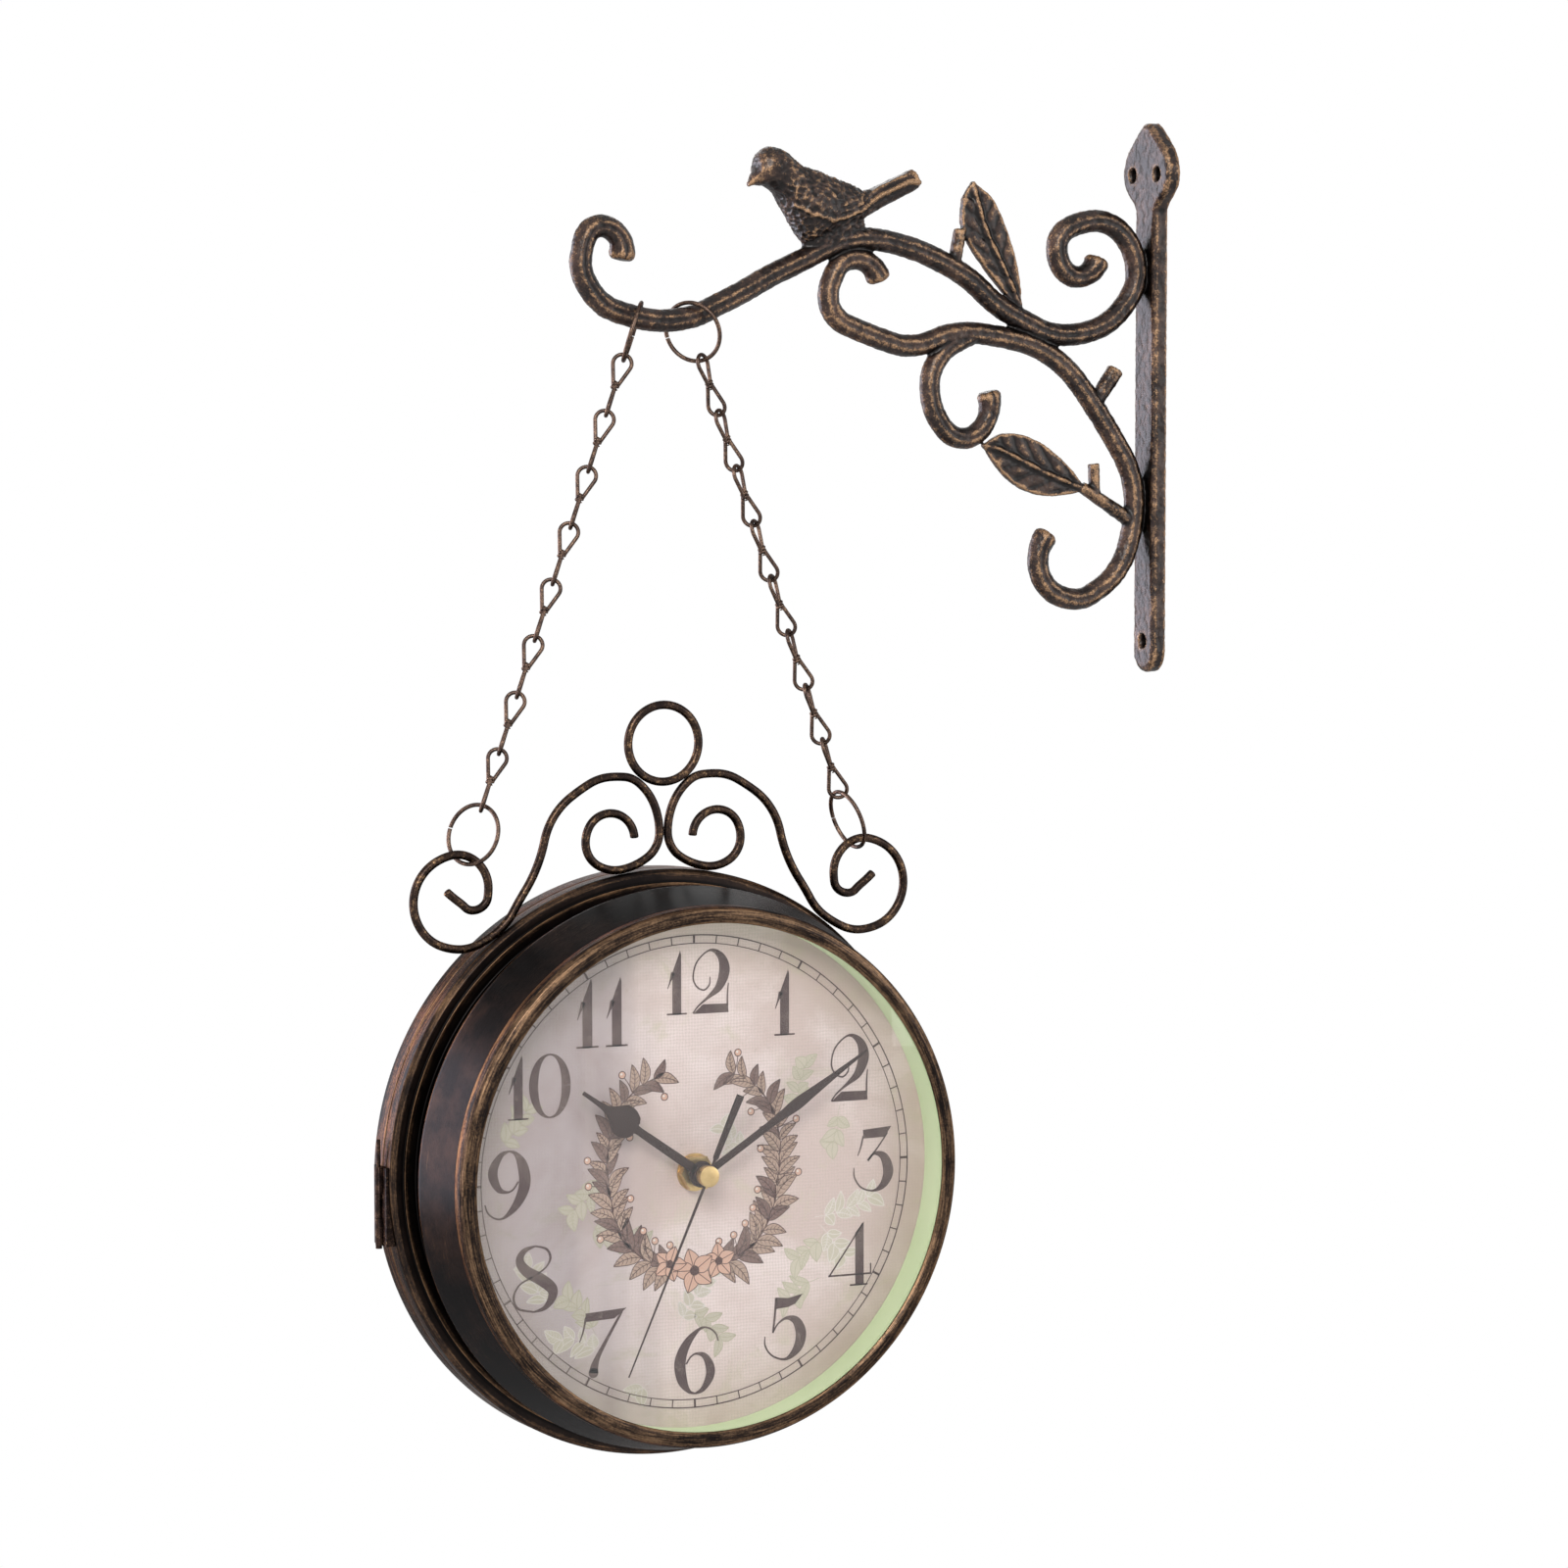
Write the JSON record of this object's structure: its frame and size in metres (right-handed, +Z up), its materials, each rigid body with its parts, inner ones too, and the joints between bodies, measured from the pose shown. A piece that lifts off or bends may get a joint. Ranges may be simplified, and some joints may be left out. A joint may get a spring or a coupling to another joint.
{
  "type": "double-sided wall clock",
  "caption": "Round drum clock with a dial on each side, hung by jack chains from a cast scroll wall bracket with a bird and leaves; the rear half opens on a hinge.",
  "frame": {"origin": "on the wall plane, midway between the two upper screw holes of the wall plate", "axes": "+X into the wall, so the bracket reaches towards -X; the front dial faces -Y; +Z up"},
  "size_m": [0.3233, 0.088, 0.5014],
  "materials": {
    "cast_bronze": "cast iron, antique bronze finish worn bright on the ridges",
    "chain_bronze": "wire chain in antique bronze",
    "crown_bronze": "bent wire in antique bronze",
    "case_bronze": "pressed sheet steel in brushed antique bronze",
    "glass": "clear flat glass",
    "reveal_green": "pale green paint",
    "dial_paper": "printed paper on a stiff board, parchment coloured",
    "clip_steel": "plain spring steel",
    "movement_plastic": "black moulded plastic",
    "battery_can": "plain wrapped cell",
    "brass": "turned brass",
    "hand_paint": "stamped metal, dark grey-brown paint",
    "knob_plastic": "white moulded plastic",
    "hinge_steel": "steel in worn antique bronze"
  },
  "bodies": {
    "bracket": {"bracket_casting": "cast_bronze"},
    "hook_rings": {"upper_ring_left": "chain_bronze", "upper_ring_right": "chain_bronze"},
    "chain_right": {"chain_right_link_1": "chain_bronze", "chain_right_link_2": "chain_bronze", "chain_right_link_3": "chain_bronze", "chain_right_link_4": "chain_bronze", "chain_right_link_5": "chain_bronze", "chain_right_link_6": "chain_bronze", "chain_right_link_7": "chain_bronze", "chain_right_link_8": "chain_bronze", "lower_ring_right": "chain_bronze"},
    "chain_left": {"chain_left_link_1": "chain_bronze", "chain_left_link_2": "chain_bronze", "chain_left_link_3": "chain_bronze", "chain_left_link_4": "chain_bronze", "chain_left_link_5": "chain_bronze", "chain_left_link_6": "chain_bronze", "chain_left_link_7": "chain_bronze", "chain_left_link_8": "chain_bronze", "lower_ring_left": "chain_bronze"},
    "clock": {"crown_scroll_left": "crown_bronze", "crown_scroll_right": "crown_bronze", "crown_ring": "crown_bronze", "front_shell": "case_bronze", "hinge_leaf_front": "hinge_steel", "hinge_pin": "hinge_steel", "front_bezel": "case_bronze", "front_glass": "glass", "front_reveal_ring": "reveal_green", "front_dial": "dial_paper", "front_dial_clips": "clip_steel", "front_movement": "movement_plastic", "front_battery": "battery_can", "front_dial_washer": "brass", "front_dial_nut": "brass"},
    "rear_half": {"rear_shell": "case_bronze", "hinge_leaf_rear": "hinge_steel", "case_catch": "hinge_steel", "rear_bezel": "case_bronze", "rear_glass": "glass", "rear_reveal_ring": "reveal_green", "rear_dial": "dial_paper", "rear_dial_clips": "clip_steel", "rear_movement": "movement_plastic", "rear_battery": "battery_can", "rear_dial_washer": "brass", "rear_dial_nut": "brass"},
    "front_minute": {"front_minute_hand": "hand_paint", "front_hand_nut": "brass"},
    "front_hour": {"front_hour_hand": "hand_paint"},
    "front_second": {"front_second_hand": "hand_paint"},
    "front_knob": {"front_set_knob": "knob_plastic"},
    "rear_minute": {"rear_minute_hand": "hand_paint", "rear_hand_nut": "brass"},
    "rear_hour": {"rear_hour_hand": "hand_paint"},
    "rear_second": {"rear_second_hand": "hand_paint"},
    "rear_knob": {"rear_set_knob": "knob_plastic"}
  },
  "joints": [
    {"name": "front_back_swing", "type": "hinge", "parent": "bracket", "child": "hook_rings", "pos_m": [-0.21, 0, -0.0557], "axis": [1, 0, 0], "range_deg": [-20, 20]},
    {"name": "side_swing", "type": "hinge", "parent": "hook_rings", "child": "chain_right", "pos_m": [-0.19406, 0, -0.07156], "axis": [0, 1, 0], "range_deg": [-10, 10]},
    {"name": "left_chain_swing", "type": "hinge", "parent": "hook_rings", "child": "chain_left", "pos_m": [-0.22594, 0, -0.07156], "axis": [0, 1, 0], "range_deg": [-12, 12]},
    {"name": "clock_tilt", "type": "hinge", "parent": "chain_right", "child": "clock", "pos_m": [-0.13073, 0, -0.25276], "axis": [0, 1, 0], "range_deg": [-4, 4]},
    {"name": "case_hinge", "type": "hinge", "parent": "clock", "child": "rear_half", "pos_m": [-0.322, 0.0064, -0.3808], "axis": [0, 0, 1], "range_deg": [0, 110]},
    {"name": "front_minute_turn", "type": "hinge", "parent": "clock", "child": "front_minute", "pos_m": [-0.21, 0, -0.371], "axis": [0, 1, 0], "continuous": true},
    {"name": "front_hour_turn", "type": "hinge", "parent": "clock", "child": "front_hour", "pos_m": [-0.21, 0, -0.371], "axis": [0, 1, 0], "continuous": true},
    {"name": "front_second_turn", "type": "hinge", "parent": "clock", "child": "front_second", "pos_m": [-0.21, 0, -0.371], "axis": [0, 1, 0], "continuous": true},
    {"name": "front_knob_turn", "type": "hinge", "parent": "clock", "child": "front_knob", "pos_m": [-0.196, 0, -0.357], "axis": [0, 1, 0], "continuous": true},
    {"name": "rear_minute_turn", "type": "hinge", "parent": "rear_half", "child": "rear_minute", "pos_m": [-0.21, 0, -0.371], "axis": [0, -1, 0], "continuous": true},
    {"name": "rear_hour_turn", "type": "hinge", "parent": "rear_half", "child": "rear_hour", "pos_m": [-0.21, 0, -0.371], "axis": [0, -1, 0], "continuous": true},
    {"name": "rear_second_turn", "type": "hinge", "parent": "rear_half", "child": "rear_second", "pos_m": [-0.21, 0, -0.371], "axis": [0, -1, 0], "continuous": true},
    {"name": "rear_knob_turn", "type": "hinge", "parent": "rear_half", "child": "rear_knob", "pos_m": [-0.196, 0, -0.357], "axis": [0, -1, 0], "continuous": true}
  ],
  "couplings": [
    {"joint": "left_chain_swing", "follows": "side_swing", "ratio": 1},
    {"joint": "clock_tilt", "follows": "side_swing", "ratio": -0.20112},
    {"joint": "front_hour_turn", "follows": "front_minute_turn", "ratio": 0.083333},
    {"joint": "front_second_turn", "follows": "front_minute_turn", "ratio": 60},
    {"joint": "front_knob_turn", "follows": "front_minute_turn", "ratio": -1},
    {"joint": "rear_hour_turn", "follows": "rear_minute_turn", "ratio": 0.083333},
    {"joint": "rear_second_turn", "follows": "rear_minute_turn", "ratio": 60},
    {"joint": "rear_knob_turn", "follows": "rear_minute_turn", "ratio": -1}
  ]
}
